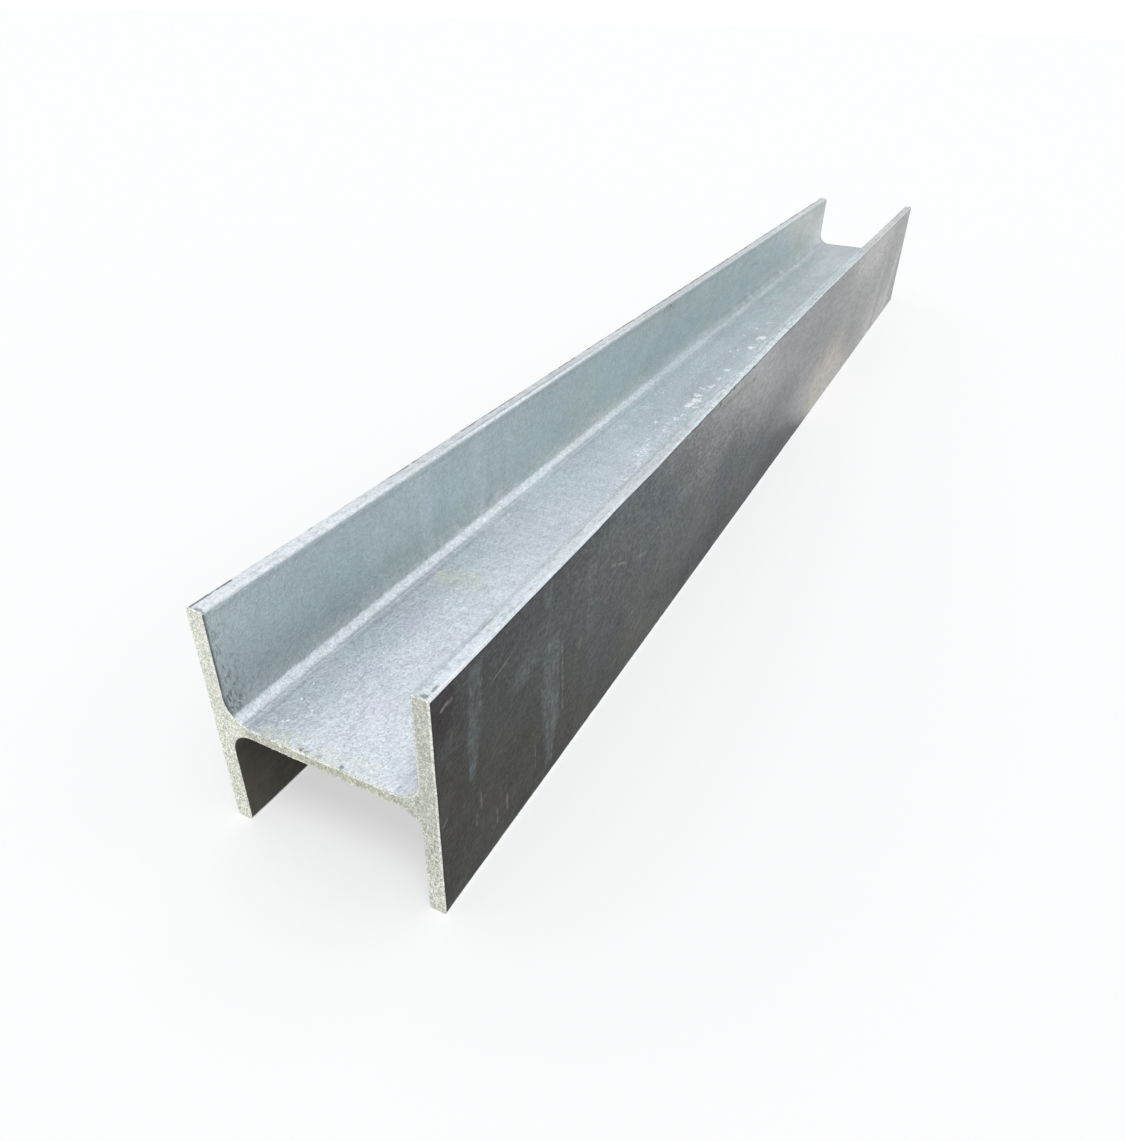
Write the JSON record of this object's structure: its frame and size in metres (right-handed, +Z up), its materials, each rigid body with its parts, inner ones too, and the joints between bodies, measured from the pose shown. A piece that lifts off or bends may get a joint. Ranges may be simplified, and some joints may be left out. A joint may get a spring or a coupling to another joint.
{
  "type": "steel i-beam",
  "caption": "Short cut length of hot-rolled, galvanised steel I-beam with wide flanges and a thin web, lying with its web level.",
  "frame": {"origin": "on the floor under the middle of the beam, at the bottom centre of its box", "axes": "+X along the length, +Y across the two flanges, +Z up, square to the level web"},
  "size_m": [0.9, 0.097, 0.099],
  "materials": {
    "galvanised_steel": "satin"
  },
  "bodies": {
    "root": {"i_beam": "galvanised_steel"}
  },
  "joints": []
}
